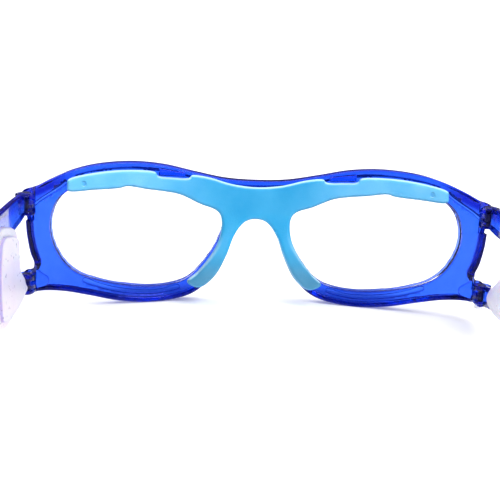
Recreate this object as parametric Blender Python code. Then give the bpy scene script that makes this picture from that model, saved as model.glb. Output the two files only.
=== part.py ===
"""Sports protective goggles: a wrap-round front with two lenses and a soft brow and nose pad,
two folding temples with clear cushions, and an elastic head strap of two overlapping bands.

Units are metres. The goggles stand on a table at Z = 0 and look along -Y; the wearer is at +Y.
The wearer's left is +X. "side" is +1 for the wearer's left and -1 for the right.
"""

import math

import bmesh
import bpy
from mathutils import Matrix, Vector

MM = 0.001

# ---- driving dimensions -------------------------------------------------------------------
WRAP_RADIUS = 120 * MM  # plan radius of the front's rear face
RIM_DEPTH = 6.0 * MM  # front to rear, through a rim
ORIGIN_Y = 92.5 * MM  # distance of the object's origin behind the front's rear face
GAP = 0.3 * MM  # clearance between neighbouring pieces
RUNNING_GAP = 0.1 * MM  # clearance of a hinge screw in its bores
STRIP = 4.0 * MM  # width of the flat strips that a bent plate is cut into

LENS_THICKNESS = 2.0 * MM
LENS_REAR = -2.3 * MM  # depth of the lens's rear face, measured from the rim's rear face
LENS_BITE = 1.0 * MM  # how far the lens reaches into the rim's groove

PAD_DEPTH = 3.2 * MM  # thickness of the brow pad
LEG_DEPTH = 5.0 * MM  # extra thickness at the foot of a nose leg
TAPER_LENGTH = 274 * MM  # the pad's sides draw in towards a point this far behind the front
TAPER_HEIGHT = 75 * MM  # and this high
PEG_RADIUS = 1.1 * MM

HINGE_X = 68.6 * MM
HINGE_Y = 21.6 * MM
KNUCKLE_RADIUS = 2.8 * MM
KNUCKLE_SWEEP = KNUCKLE_RADIUS + 0.35 * MM
HINGES = {"upper": (30.4 * MM, 37.0 * MM), "lower": (6.5 * MM, 12.8 * MM)}  # underside and top
TONGUE_SHARE = 0.32  # of a hinge's height
SCREW_RADIUS = 0.7 * MM
SCREW_BORE = SCREW_RADIUS + RUNNING_GAP
SCREW_HEAD_RADIUS = 1.3 * MM
SCREW_HEAD_HEIGHT = 0.7 * MM
INSERT_RADIUS = 1.6 * MM
INSERT_HEIGHT = 1.1 * MM

TEMPLE_INNER_X = 68.3 * MM
TEMPLE_THICKNESS = 3.0 * MM
CUSHION_THICKNESS = 2.2 * MM

STRAP_WIDTH = 20 * MM
STRAP_THICKNESS = 1.3 * MM
SLOT_FRONT = 70.5 * MM
SLOT_REAR = 74.7 * MM
SLOT_FOOT = 10.6 * MM
SLOT_HEAD = 31.4 * MM
BAR_REAR = 78.6 * MM  # rear edge of the bar that the strap wraps round

BACK_RADIUS = 120 * MM  # plan radius of the strap behind the head
BACK_CENTRE_Y = 70 * MM
BACK_HALF_ANGLE = math.radians(22)
STRAP_SIDE_X = TEMPLE_INNER_X + TEMPLE_THICKNESS / 2
OVERLAP_HALF_ANGLE = math.radians(17)  # each band runs this far past the middle
STRAP_DROP = 8.0 * MM  # the strap is this much lower at the back than in its slots
SLIDER_ANGLE = math.radians(9.5)
SLIDER_HEIGHT = 26 * MM
SLIDER_HALF_ANGLE = math.radians(4.4)
SLIDER_BAR = 3.0 * MM

# ---- outlines, in millimetres --------------------------------------------------------------
# Across the front: (distance round the wrap from the middle, height). Only the +X half is given.
APERTURE = [
    (65.8, 26.5), (63.9, 18.6), (58.2, 11.6), (47.5, 7.2), (34.0, 5.1), (22.6, 6.9), (15.6, 14.0),
    (11.6, 21.5), (10.4, 29.0), (14.5, 34.6), (26.5, 37.9), (42.0, 39.2), (56.0, 38.0), (63.3, 33.9),
]
FRONT_HALF = [
    (10.0, 39.9), (20.0, 41.8), (30.0, 44.0), (40.0, 44.9), (50.0, 44.4), (58.0, 42.9), (65.0, 40.5),
    (70.6, 38.1), (74.6, 36.9), (75.2, 33.6), (74.4, 30.5), (73.3, 29.0), (72.9, 24.4), (71.9, 19.0),
    (70.7, 15.4), (71.8, 13.2), (74.3, 12.7), (75.0, 9.6), (74.2, 6.6), (68.0, 6.7), (61.0, 5.7), (53.0, 3.6),
    (44.0, 1.2), (34.0, 0.0), (24.6, 0.9), (18.2, 3.4), (13.3, 8.4), (9.8, 15.2), (7.2, 21.8), (4.2, 27.0),
]
FRONT_TOP_MIDDLE = (0.0, 39.4)
FRONT_ARCH_MIDDLE = (0.0, 29.2)
PAD_HALF = [
    (8.0, 38.3), (15.0, 40.2), (20.4, 41.0), (22.2, 40.0), (27.0, 40.2), (31.4, 40.6), (33.0, 42.0), (38.0, 42.5),
    (46.0, 42.4), (54.0, 41.5), (59.4, 40.3), (60.2, 38.6), (59.4, 36.4), (52.0, 36.6), (44.4, 36.9),
    (41.0, 37.5), (35.0, 36.5), (29.0, 35.7), (24.0, 34.6), (18.0, 31.8), (12.8, 29.8), (11.0, 26.6),
    (11.6, 20.6), (14.2, 15.2), (18.2, 10.0), (21.6, 6.9), (20.4, 5.2), (17.2, 4.7), (12.8, 8.6), (9.4, 15.2),
    (7.0, 21.6), (3.8, 26.0),
]
PAD_TOP_MIDDLE = (0.0, 37.5)
PAD_ARCH_MIDDLE = (0.0, 27.2)
PAD_PEGS = [(16.0, 37.2), (48.0, 41.6), (17.0, 7.2)]
TAB = [(22.9, 40.6), (31.0, 41.1), (31.0, 43.2), (22.9, 41.9)]

# Across a temple: (distance behind the front's middle, height).
TEMPLE = [
    (21.6, 37.0), (34.0, 36.9), (50.0, 36.4), (64.0, 35.6), (74.6, 34.2), (78.6, 31.0), (78.6, 21.0),
    (78.6, 11.0), (75.6, 8.2), (70.0, 8.2), (67.2, 11.5), (66.4, 19.0), (64.2, 26.6), (59.0, 29.4),
    (54.0, 28.4), (51.4, 24.4), (49.6, 18.0), (46.4, 12.6), (41.2, 9.0), (35.0, 7.8), (28.0, 7.1), (21.6, 6.5),
    (21.6, 12.8), (27.0, 13.3), (33.0, 14.0), (38.6, 16.0), (42.8, 19.8), (44.2, 24.4), (42.6, 27.6),
    (37.0, 28.7), (30.0, 29.3), (21.6, 30.4),
]
CUSHION = [
    (31.2, 11.6), (33.2, 14.4), (38.0, 17.6), (41.2, 21.0), (41.8, 25.4), (43.2, 29.4), (48.4, 31.6),
    (55.0, 33.0), (61.0, 33.6), (65.8, 31.4), (68.2, 25.0), (68.4, 17.0), (66.8, 10.0), (61.0, 7.4),
    (50.0, 7.4), (41.0, 7.8), (35.0, 8.6), (32.2, 9.8),
]
CUSHION_PEGS = [(38.8, 12.2), (52.8, 30.8), (62.2, 31.2)]

# ---- colours -------------------------------------------------------------------------------
FINISHES = {
    "frame_blue": ((0.05, 0.13, 0.85, 1.0), 0.12, 0.0),
    "lens_clear": ((0.95, 0.98, 1.0, 1.0), 0.04, 0.0),
    "pad_cyan": ((0.22, 0.68, 0.95, 1.0), 0.45, 0.0),
    "cushion_clear": ((0.92, 0.90, 0.97, 1.0), 0.35, 0.0),
    "screw_steel": ((0.55, 0.56, 0.60, 1.0), 0.25, 1.0),
    "insert_brass": ((0.75, 0.58, 0.28, 1.0), 0.30, 1.0),
    "strap_webbing": ((0.03, 0.07, 0.42, 1.0), 0.85, 0.0),
    "slider_plastic": ((0.03, 0.04, 0.10, 1.0), 0.30, 0.0),
}


# ---- helpers -------------------------------------------------------------------------------
def start_scene():
    for old in list(bpy.data.objects):
        bpy.data.objects.remove(old, do_unlink=True)
    made = {}
    for name in ("sports_goggles", "cutters"):
        made[name] = bpy.data.collections.new(name)
        bpy.context.scene.collection.children.link(made[name])
    return made["sports_goggles"], made["cutters"]


def empty(name, at, parent=None):
    made = bpy.data.objects.new(name, None)
    made.location = at
    made.parent = parent
    parts.objects.link(made)
    return made


def attach(obj, parent, at):
    """Gives the object its origin at this place, which is its parent's own."""
    obj.data.transform(Matrix.Translation(-Vector(at)))
    obj.parent = parent


def material(slot):
    found = bpy.data.materials.get(slot)
    if found:
        return found
    colour, roughness, metallic = FINISHES[slot]
    made = bpy.data.materials.new(slot)
    made.use_nodes = True
    shader = made.node_tree.nodes["Principled BSDF"]
    shader.inputs["Base Color"].default_value = colour
    shader.inputs["Roughness"].default_value = roughness
    shader.inputs["Metallic"].default_value = metallic
    return made


def new_object(name, mesh, slot=None):
    """A part if it has a material slot, otherwise a cutter."""
    obj = bpy.data.objects.new(name, mesh)
    if slot:
        mesh.materials.append(material(slot))
        parts.objects.link(obj)
    else:
        obj.hide_render = True
        obj.display_type = "WIRE"
        cutters.objects.link(obj)
    return obj


def metres(points):
    return [Vector((a * MM, b * MM)) for a, b in points]


def smooth_loop(points, steps):
    """A closed Catmull-Rom curve through the points, with this many steps from each to the next."""
    loop = []
    count = len(points)
    for i in range(count):
        p0, p1, p2, p3 = (points[(i + k - 1) % count] for k in range(4))
        for step in range(steps):
            t = step / steps
            loop.append(
                0.5 * (2 * p1 + (p2 - p0) * t + (2 * p0 - 5 * p1 + 4 * p2 - p3) * t * t
                       + (3 * p1 - p0 - 3 * p2 + p3) * t ** 3)
            )
    return loop


def symmetric(top, half, bottom):
    """A whole outline from its +X half and its two points on the middle line."""
    left = metres(half)
    right = [Vector((-p.x, p.y)) for p in reversed(left)]
    return metres([top]) + left + metres([bottom]) + right


def offset_loop(loop, distance):
    """The loop moved outwards by the distance, along its own normals."""
    area = sum(a.cross(b) for a, b in zip(loop, loop[1:] + loop[:1]))
    turn = math.copysign(1, area)
    moved = []
    for i, point in enumerate(loop):
        along = (loop[(i + 1) % len(loop)] - loop[i - 1]).normalized()
        moved.append(point + Vector((along.y, -along.x)) * distance * turn)
    return moved


def circle(centre, radius, sides=16):
    angles = [2 * math.pi * k / sides for k in range(sides)]
    return [centre + radius * Vector((math.cos(a), math.sin(a))) for a in angles]


def rectangle(low, high):
    return [Vector((low[0], low[1])), Vector((high[0], low[1])), Vector((high[0], high[1])),
            Vector((low[0], high[1]))]


def plate(name, loops, near, far, slot=None):
    """A flat plate: the first loop is its outline, any others are holes, and z is its depth."""
    curve = bpy.data.curves.new(name, "CURVE")
    curve.dimensions = "2D"
    curve.fill_mode = "BOTH"
    curve.extrude = (far - near) / 2
    for loop in loops:
        spline = curve.splines.new("POLY")
        spline.points.add(len(loop) - 1)
        for point, at in zip(spline.points, loop):
            point.co = (at.x, at.y, 0, 1)
        spline.use_cyclic_u = True
    flat = bpy.data.objects.new(name, curve)
    cutters.objects.link(flat)
    graph = bpy.context.evaluated_depsgraph_get()
    mesh = bpy.data.meshes.new_from_object(flat.evaluated_get(graph))
    bpy.data.objects.remove(flat)
    bm = bmesh.new()
    bm.from_mesh(mesh)
    bmesh.ops.remove_doubles(bm, verts=bm.verts, dist=1e-6)
    bmesh.ops.translate(bm, verts=bm.verts, vec=(0, 0, (near + far) / 2))
    bmesh.ops.recalc_face_normals(bm, faces=bm.faces)
    bm.to_mesh(mesh)
    bm.free()
    return new_object(name, mesh, slot)


def shape(obj, place, strips=None, rows=None):
    """Cuts a flat plate into strips, so that it can bend, and puts each point where place() says."""
    bm = bmesh.new()
    bm.from_mesh(obj.data)
    bmesh.ops.dissolve_limit(bm, angle_limit=0.001, verts=bm.verts, edges=bm.edges)
    for axis, pitch in ((0, strips), (1, rows)):
        if not pitch:
            continue
        low = min(v.co[axis] for v in bm.verts)
        high = max(v.co[axis] for v in bm.verts)
        normal = Vector((1, 0, 0)) if axis == 0 else Vector((0, 1, 0))
        for k in range(math.ceil(low / pitch), math.floor(high / pitch) + 1):
            everything = bm.verts[:] + bm.edges[:] + bm.faces[:]
            bmesh.ops.bisect_plane(bm, geom=everything, dist=1e-6, plane_co=normal * (k * pitch + 2e-6),
                                   plane_no=normal)
    bmesh.ops.triangulate(bm, faces=bm.faces)
    for v in bm.verts:
        v.co = place(*v.co)
    if bm.calc_volume(signed=True) < 0:
        bmesh.ops.reverse_faces(bm, faces=bm.faces)
    bm.to_mesh(obj.data)
    bm.free()
    return obj


def cylinder(name, radius, low, high, at, slot=None, sides=24, top_radius=None):
    """An upright cylinder or cone from one height to another."""
    mesh = bpy.data.meshes.new(name)
    bm = bmesh.new()
    bmesh.ops.create_cone(bm, cap_ends=True, segments=sides, radius1=radius,
                          radius2=radius if top_radius is None else top_radius, depth=high - low,
                          matrix=Matrix.Translation((at[0], at[1], (low + high) / 2)))
    bm.to_mesh(mesh)
    bm.free()
    return new_object(name, mesh, slot)


def combine(target, other, operation):
    """Joins the other object to the target, or cuts it away, and applies the result."""
    modifier = target.modifiers.new(other.name, "BOOLEAN")
    modifier.operation = operation
    modifier.solver = "EXACT"
    modifier.object = other
    graph = bpy.context.evaluated_depsgraph_get()
    slots = list(target.data.materials)
    mesh = bpy.data.meshes.new_from_object(target.evaluated_get(graph))
    target.modifiers.clear()
    target.data = mesh
    if len(mesh.materials) > len(slots):
        mesh.materials.clear()
        for slot in slots:
            mesh.materials.append(slot)
    bpy.data.objects.remove(other)


# ---- places: how a flat outline is put into the object --------------------------------------
def wrap(u, height, depth):
    """On the wrap-round front. Depth is measured from the rim's rear face towards the wearer."""
    angle = u / WRAP_RADIUS
    return Vector((WRAP_RADIUS * math.sin(angle), WRAP_RADIUS * (1 - math.cos(angle)) + depth, height))


def on_side(side):
    """On a temple: the outline's plane is upright and runs front to back, and depth is across."""
    def place(y, height, depth):
        return Vector((side * depth, y, height))
    return place


def smooth_step(value, start, end):
    t = min(1.0, max(0.0, (value - start) / (end - start)))
    return t * t * (3 - 2 * t)


def pad_place(u, height, depth):
    """The brow pad tapers towards the wearer, and its rear face swells at the feet of the nose legs."""
    if depth > PAD_DEPTH / 2:
        depth += LEG_DEPTH * smooth_step(height, 30 * MM, 10 * MM)
    taper = max(0.0, depth) / TAPER_LENGTH
    return wrap(u * (1 - taper), height + (TAPER_HEIGHT - height) * taper, depth)


# ---- the front -----------------------------------------------------------------------------
def hinge_span(level):
    """Heights of a hinge's lower ear, tongue and upper ear, as (low, high) pairs."""
    foot, top = HINGES[level]
    tongue_height = TONGUE_SHARE * (top - foot)
    ear_height = (top - foot - tongue_height) / 2 - GAP
    return (foot, foot + ear_height), ((foot + top - tongue_height) / 2, (foot + top + tongue_height) / 2), (
        top - ear_height, top)


def add_hinge_tongue(front, side, level):
    """The front's half of a hinge: pockets for the temple's two ears, and a bored tongue between them."""
    lower, tongue, upper = hinge_span(level)
    at = (side * HINGE_X, HINGE_Y)
    for low, high in ((lower[0] - 2 * MM, lower[1] + GAP), (upper[0] - GAP, upper[1] + 2 * MM)):
        combine(front, cylinder("sweep", KNUCKLE_SWEEP, low, high, at, sides=32), "DIFFERENCE")
    combine(front, cylinder("barrel", KNUCKLE_RADIUS, *tongue, at), "UNION")
    combine(front, cylinder("bore", SCREW_BORE, tongue[0] - MM, tongue[1] + MM, at), "DIFFERENCE")


def mirrored(loop, side):
    return [Vector((side * p.x, p.y)) for p in loop]


def make_front():
    outline = smooth_loop(symmetric(FRONT_TOP_MIDDLE, FRONT_HALF, FRONT_ARCH_MIDDLE), 3)
    hole = smooth_loop(metres(APERTURE), 4)
    front = plate("front_frame", [outline, hole, mirrored(hole, -1)], -RIM_DEPTH, 0, "frame_blue")
    groove = offset_loop(hole, LENS_BITE + GAP)
    for side in (1, -1):
        cutter = plate("groove", [mirrored(groove, side)], LENS_REAR - LENS_THICKNESS - GAP, LENS_REAR + GAP)
        combine(front, cutter, "DIFFERENCE")
        combine(front, plate("tab", [mirrored(metres(TAB), side)], -2 * MM, 2.4 * MM), "UNION")
        for u, height in PAD_PEGS:
            at = Vector((side * u, height)) * MM
            combine(front, plate("peg_hole", [circle(at, PEG_RADIUS + GAP)], -1.9 * MM, 1 * MM), "DIFFERENCE")
    shape(front, wrap, STRIP)
    for side in (1, -1):
        for level in HINGES:
            add_hinge_tongue(front, side, level)
    return front


def make_lens(side, name):
    edge = offset_loop(smooth_loop(metres(APERTURE), 4), LENS_BITE)
    lens = plate(name, [mirrored(edge, side)], LENS_REAR - LENS_THICKNESS, LENS_REAR, "lens_clear")
    return shape(lens, wrap, STRIP)


def make_brow_pad():
    outline = smooth_loop(symmetric(PAD_TOP_MIDDLE, PAD_HALF, PAD_ARCH_MIDDLE), 2)
    pad = plate("brow_nose_pad", [outline], GAP, PAD_DEPTH, "pad_cyan")
    for side in (1, -1):
        for u, height in PAD_PEGS:
            at = Vector((side * u, height)) * MM
            combine(pad, plate("peg", [circle(at, PEG_RADIUS, 12)], -1.6 * MM, 1.5 * MM), "UNION")
    shape(pad, pad_place, STRIP, STRIP)
    for side in (1, -1):
        notch = plate("notch", [mirrored(offset_loop(metres(TAB), GAP), side)], -3 * MM, 2.4 * MM + GAP)
        combine(pad, shape(notch, wrap, STRIP), "DIFFERENCE")
    return pad


# ---- temples -------------------------------------------------------------------------------
def make_temple(side, name):
    slot = rectangle((SLOT_FRONT, SLOT_FOOT), (SLOT_REAR, SLOT_HEAD))
    peg_holes = [circle(Vector(p) * MM, PEG_RADIUS + GAP) for p in CUSHION_PEGS]
    outer = TEMPLE_INNER_X + TEMPLE_THICKNESS
    temple = plate(name, [smooth_outline(TEMPLE), slot, *peg_holes], TEMPLE_INNER_X, outer, "frame_blue")
    shape(temple, on_side(side))
    at = (side * HINGE_X, HINGE_Y)
    for level, (foot, top) in HINGES.items():
        tongue = hinge_span(level)[1]
        combine(temple, cylinder("barrel", KNUCKLE_RADIUS, foot, top, at), "UNION")
        sweep = cylinder("sweep", KNUCKLE_SWEEP, tongue[0] - GAP, tongue[1] + GAP, at, sides=32)
        combine(temple, sweep, "DIFFERENCE")
        combine(temple, cylinder("bore", SCREW_BORE, foot - MM, top + MM, at), "DIFFERENCE")
        head = cylinder("head", SCREW_HEAD_RADIUS + GAP, top - SCREW_HEAD_HEIGHT - GAP, top + MM, at)
        combine(temple, head, "DIFFERENCE")
        pocket = cylinder("pocket", INSERT_RADIUS + GAP, foot - MM, foot + INSERT_HEIGHT + GAP, at)
        combine(temple, pocket, "DIFFERENCE")
    return temple


def smooth_outline(points):
    """A temple's outline: smooth, but square where it meets the two hinges."""
    count = len(points)
    placed = metres(points)
    square = [p for p in range(count) if points[p][0] * MM == HINGE_Y]
    loop = []
    for i in range(count):
        p0, p1, p2, p3 = (placed[(i + k - 1) % count] for k in range(4))
        if i in square and (i + 1) % count in square:
            loop.append(p1)
            continue
        if i in square:
            p0 = 2 * p1 - p2
        if (i + 1) % count in square:
            p3 = 2 * p2 - p1
        for step in range(3):
            t = step / 3
            loop.append(
                0.5 * (2 * p1 + (p2 - p0) * t + (2 * p0 - 5 * p1 + 4 * p2 - p3) * t * t
                       + (3 * p1 - p0 - 3 * p2 + p3) * t ** 3)
            )
    return loop


def make_cushion(side, name):
    far = TEMPLE_INNER_X - GAP
    outline = smooth_loop(metres(CUSHION), 3)
    cushion = plate(name, [outline], far - CUSHION_THICKNESS, far, "cushion_clear")
    for y, height in CUSHION_PEGS:
        end = TEMPLE_INNER_X + TEMPLE_THICKNESS - 0.4 * MM
        peg = plate("peg", [circle(Vector((y, height)) * MM, PEG_RADIUS, 12)], far - MM, end)
        combine(cushion, peg, "UNION")
    return shape(cushion, on_side(side))


def make_hinge_hardware(side, word, level):
    at = (side * HINGE_X, HINGE_Y)
    foot, top = HINGES[level]
    screw = cylinder(f"hinge_screw_{word}_{level}", SCREW_RADIUS, foot, top - 0.1 * MM, at, "screw_steel", sides=16)
    head = cylinder("screw_head", SCREW_HEAD_RADIUS, top - SCREW_HEAD_HEIGHT, top, at, sides=16)
    combine(screw, head, "UNION")
    insert = cylinder(f"hinge_insert_{word}_{level}", INSERT_RADIUS, foot, foot + INSERT_HEIGHT, at, "insert_brass",
                      sides=16)
    bore = cylinder("insert_bore", SCREW_BORE, foot - MM, foot + INSERT_HEIGHT + MM, at, sides=16)
    combine(insert, bore, "DIFFERENCE")
    return screw, insert


# ---- strap ---------------------------------------------------------------------------------
def strap_line(inset):
    """Plan points of a strap's face, from beside the +X temple to past the middle of the back.

    inset is how far the face lies inside the strap's outermost line.
    """
    outer_x = STRAP_SIDE_X + TEMPLE_THICKNESS / 2 + GAP + STRAP_THICKNESS
    sine = math.sin(BACK_HALF_ANGLE)
    corner_radius = (outer_x - BACK_RADIUS * sine) / (1 - sine)
    back_to_corner = BACK_RADIUS - corner_radius
    corner = Vector((back_to_corner * sine, BACK_CENTRE_Y + back_to_corner * math.cos(BACK_HALF_ANGLE)))
    points = []
    for k in range(11):
        angle = math.pi / 2 + (BACK_HALF_ANGLE - math.pi / 2) * k / 10
        points.append(corner + (corner_radius - inset) * Vector((math.sin(angle), math.cos(angle))))
    for k in range(1, 14):
        angle = BACK_HALF_ANGLE - (BACK_HALF_ANGLE + OVERLAP_HALF_ANGLE) * k / 13
        reach = BACK_RADIUS - inset
        points.append(Vector((reach * math.sin(angle), BACK_CENTRE_Y + reach * math.cos(angle))))
    return points


def drop(y):
    """How far the strap has come down at this distance behind the front."""
    return STRAP_DROP * smooth_step(y, BAR_REAR, BACK_CENTRE_Y + BACK_RADIUS)


def make_band(side, name, inset):
    """One band: a sewn loop round the temple's bar, then a single layer round to the back.

    The two bands share the side runs' line, and at the back one lies inside the other.
    """
    def shift(y):
        return inset * smooth_step(y, 110 * MM, 150 * MM)

    outer = strap_line(0)
    inner = strap_line(STRAP_THICKNESS)
    outer = [p + (inner[i] - p) / STRAP_THICKNESS * shift(p.y) for i, p in enumerate(outer)]
    inner = [p + (p - strap_line(0)[i]) / STRAP_THICKNESS * shift(p.y) for i, p in enumerate(inner)]
    outer_x = STRAP_SIDE_X + TEMPLE_THICKNESS / 2 + GAP + STRAP_THICKNESS
    inner_x = TEMPLE_INNER_X - GAP - STRAP_THICKNESS
    loop_front = SLOT_REAR - GAP - STRAP_THICKNESS
    sewn = 88 * MM  # where the loop closes
    tail = 102 * MM  # end of the sewn layer
    eye_x = outer_x - STRAP_THICKNESS
    outline = [Vector((outer_x, loop_front + 1.2 * MM)), *outer, *reversed(inner)]
    outline += [Vector((eye_x, tail)), Vector((eye_x - STRAP_THICKNESS, tail)),
                Vector((eye_x - STRAP_THICKNESS, sewn + 2 * MM)), Vector((inner_x, BAR_REAR + 3 * MM)),
                Vector((inner_x, loop_front + 1.2 * MM)), Vector((inner_x + 1.2 * MM, loop_front)),
                Vector((outer_x - 1.2 * MM, loop_front))]
    eye = [Vector((eye_x, SLOT_REAR - GAP)), Vector((eye_x, sewn)), Vector((inner_x + STRAP_THICKNESS, BAR_REAR + 3 * MM)),
           Vector((inner_x + STRAP_THICKNESS, SLOT_REAR - GAP))]
    middle = (SLOT_FOOT + SLOT_HEAD) / 2
    band = plate(name, [outline, eye], middle - STRAP_WIDTH / 2, middle + STRAP_WIDTH / 2, "strap_webbing")
    return shape(band, lambda x, y, z: Vector((side * x, y, z - drop(y))), rows=6 * MM)


def sector(name, near, far, start, end, low, high, slot=None):
    """A block between two radii about the strap's back centre."""
    steps = 4
    turn = [start + (end - start) * k / steps for k in range(steps + 1)]
    rim = [Vector((far * math.sin(a), BACK_CENTRE_Y + far * math.cos(a))) for a in turn]
    hub = [Vector((near * math.sin(a), BACK_CENTRE_Y + near * math.cos(a))) for a in reversed(turn)]
    return plate(name, [rim + hub], low, high, slot)


def make_slider(side, name):
    """A three-bar slider: its end bars lie outside the two bands, and its middle bar inside them."""
    foot = (SLOT_FOOT + SLOT_HEAD) / 2 - STRAP_DROP - SLIDER_HEIGHT / 2
    rail = (SLIDER_HEIGHT - STRAP_WIDTH) / 2 - 0.5 * MM
    outside = BACK_RADIUS + GAP
    inside = BACK_RADIUS - 2 * STRAP_THICKNESS - 2 * GAP

    start = side * SLIDER_ANGLE - SLIDER_HALF_ANGLE
    end = side * SLIDER_ANGLE + SLIDER_HALF_ANGLE
    middle = side * SLIDER_ANGLE
    half_bar = SLIDER_BAR / BACK_RADIUS / 2
    low = foot + rail / 2
    high = foot + SLIDER_HEIGHT - rail / 2
    wall = 1.2 * MM
    body = sector(name, inside - wall, outside + wall, start, end, foot, foot + rail, "slider_plastic")
    pieces = [
        sector("top", inside - wall, outside + wall, start, end, foot + SLIDER_HEIGHT - rail, foot + SLIDER_HEIGHT),
        sector("bar", outside, outside + wall, start, start + 2 * half_bar, low, high),
        sector("bar", outside, outside + wall, end - 2 * half_bar, end, low, high),
        sector("bar", inside - wall, inside, middle - half_bar, middle + half_bar, low, high),
    ]
    for piece in pieces:
        combine(body, piece, "UNION")
    return body


# ---- assembly ------------------------------------------------------------------------------
def main():
    goggles = empty("goggles", (0, -ORIGIN_Y, 0))
    fixed = [make_front(), make_brow_pad()]
    fixed += [make_band(1, "strap_left", 0), make_band(-1, "strap_right", STRAP_THICKNESS + GAP)]
    for side, word in ((1, "left"), (-1, "right")):
        fixed.append(make_lens(side, f"lens_{word}"))
        at = (side * HINGE_X, HINGE_Y, 0)
        hinge = empty(f"temple_hinge_{word}", at, goggles)
        turning = [make_temple(side, f"temple_{word}"), make_cushion(side, f"temple_cushion_{word}")]
        for level in HINGES:
            turning += make_hinge_hardware(side, word, level)
        for obj in turning:
            attach(obj, hinge, at)
        at = (0, BACK_CENTRE_Y, 0)
        attach(make_slider(side, f"strap_slider_{word}"), empty(f"slider_axis_{word}", at, goggles), at)
    for obj in fixed:
        obj.parent = goggles


parts, cutters = start_scene()
main()
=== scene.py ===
"""Looks of the sports goggles: every piece re-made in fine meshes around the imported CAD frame.

Lengths are metres. Pieces are first drawn in the front's own space, whose origin is the middle of the
bridge's rear face at table height, and then moved into the frame's space. "side" is +1 for the wearer's
left and -1 for the right.
"""

import math

import bmesh
import bpy
from mathutils import Matrix, Vector
from mathutils.geometry import intersect_line_line_2d


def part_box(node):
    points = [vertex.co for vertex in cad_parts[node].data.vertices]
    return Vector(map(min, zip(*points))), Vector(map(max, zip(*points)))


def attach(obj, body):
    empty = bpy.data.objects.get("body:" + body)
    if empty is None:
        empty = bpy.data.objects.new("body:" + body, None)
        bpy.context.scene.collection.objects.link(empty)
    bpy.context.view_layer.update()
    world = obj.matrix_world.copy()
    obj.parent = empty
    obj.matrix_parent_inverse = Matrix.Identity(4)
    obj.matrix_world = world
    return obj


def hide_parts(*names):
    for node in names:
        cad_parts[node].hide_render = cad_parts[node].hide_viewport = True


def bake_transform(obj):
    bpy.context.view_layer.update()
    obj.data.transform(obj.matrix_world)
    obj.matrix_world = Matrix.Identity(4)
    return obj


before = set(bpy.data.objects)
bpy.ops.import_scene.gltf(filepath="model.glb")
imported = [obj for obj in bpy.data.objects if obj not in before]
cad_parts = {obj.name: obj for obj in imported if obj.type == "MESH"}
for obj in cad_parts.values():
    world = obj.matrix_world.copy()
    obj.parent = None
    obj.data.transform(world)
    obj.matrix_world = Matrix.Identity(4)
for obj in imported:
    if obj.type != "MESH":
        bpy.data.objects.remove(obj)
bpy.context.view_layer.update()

MM = 0.001

HAIR = 0.03 * MM  # keeps two surfaces from lying in one plane
TOUCHING = 0.001 * MM  # points as near as this are one point
FACETS = 48  # of an upright cylinder

# ---- sizes that the CAD has too ---------------------------------------------------------------
WRAP_RADIUS = 120 * MM  # plan radius of the front's rear face
RIM_DEPTH = 6.0 * MM
GAP = 0.3 * MM  # clearance between neighbouring pieces
FRONT_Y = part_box("front_frame")[0].y + RIM_DEPTH  # the bridge's rear face

LENS_THICKNESS = 2.0 * MM
LENS_REAR = -2.3 * MM  # depth of the lens's rear face, measured from the rim's rear face

PAD_DEPTH = 3.2 * MM
LEG_DEPTH = 5.0 * MM  # extra thickness at the foot of a nose leg
TAPER_LENGTH = 274 * MM  # the pad's sides draw in towards a point this far behind the front
TAPER_HEIGHT = 75 * MM  # and this high
PEG_RADIUS = 1.1 * MM

screw_low, screw_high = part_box("hinge_screw_left_upper")
HINGE_X = (screw_low.x + screw_high.x) / 2
HINGE_Y = (screw_low.y + screw_high.y) / 2 - FRONT_Y
HINGES = {"upper": (30.4 * MM, 37.0 * MM), "lower": (6.5 * MM, 12.8 * MM)}  # underside and top
TONGUE_SHARE = 0.32  # of a hinge's height
KNUCKLE_RADIUS = 2.8 * MM
KNUCKLE_SWEEP = KNUCKLE_RADIUS + 0.35 * MM
SCREW_HEAD_RADIUS = 1.3 * MM
SCREW_HEAD_HEIGHT = 0.7 * MM
INSERT_RADIUS = 1.6 * MM
INSERT_HEIGHT = 1.1 * MM

TEMPLE_INNER_X = 68.3 * MM
TEMPLE_THICKNESS = 3.0 * MM
CUSHION_THICKNESS = 2.2 * MM

STRAP_WIDTH = 20 * MM
STRAP_THICKNESS = 1.3 * MM
SLOT_FRONT = 70.5 * MM
SLOT_REAR = 74.7 * MM
SLOT_FOOT = 10.6 * MM
SLOT_HEAD = 31.4 * MM
BAR_REAR = 78.6 * MM  # rear edge of the bar that the strap wraps round
BACK_RADIUS = 120 * MM  # plan radius of the strap behind the head
BACK_CENTRE_Y = 70 * MM
BACK_HALF_ANGLE = math.radians(22)
OVERLAP_HALF_ANGLE = math.radians(17)  # each band runs this far past the middle
STRAP_DROP = 8.0 * MM  # the strap is this much lower at the back than in its slots

# ---- details that only the looks have ---------------------------------------------------------
# A round is its (width, height), and an edge's pair of them is for its near face and its far one.
BEAD_WIDTH = 1.8 * MM  # the bead that runs round the rear of the rims
BEAD_ROUND = (1.0 * MM, 0.6 * MM)
SEAT = -0.8 * MM  # the sunken rear face inside the bead
OUTER_ROUNDS = (1.2 * MM, 1.4 * MM), (0.7 * MM, 0.7 * MM)
OPENING_ROUNDS = (0.9 * MM, 0.9 * MM), (0.45 * MM, 0.45 * MM)
TAB_ROUNDS = (0, 0), (0.3 * MM, 0.3 * MM)
RAISED_ROUNDS = (0, 0), (0.5 * MM, 0.6 * MM)
CREASE_WIDTH = 1.1 * MM
CREASE_DEPTH = 1.3 * MM
UNDERCUT_WIDTH = 1.5 * MM
UNDERCUT_DEPTH = 0.9 * MM
LENS_BITE = 0.4 * MM  # how far the lens reaches into the rim's groove, where the CAD's reaches 1.0 mm
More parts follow.
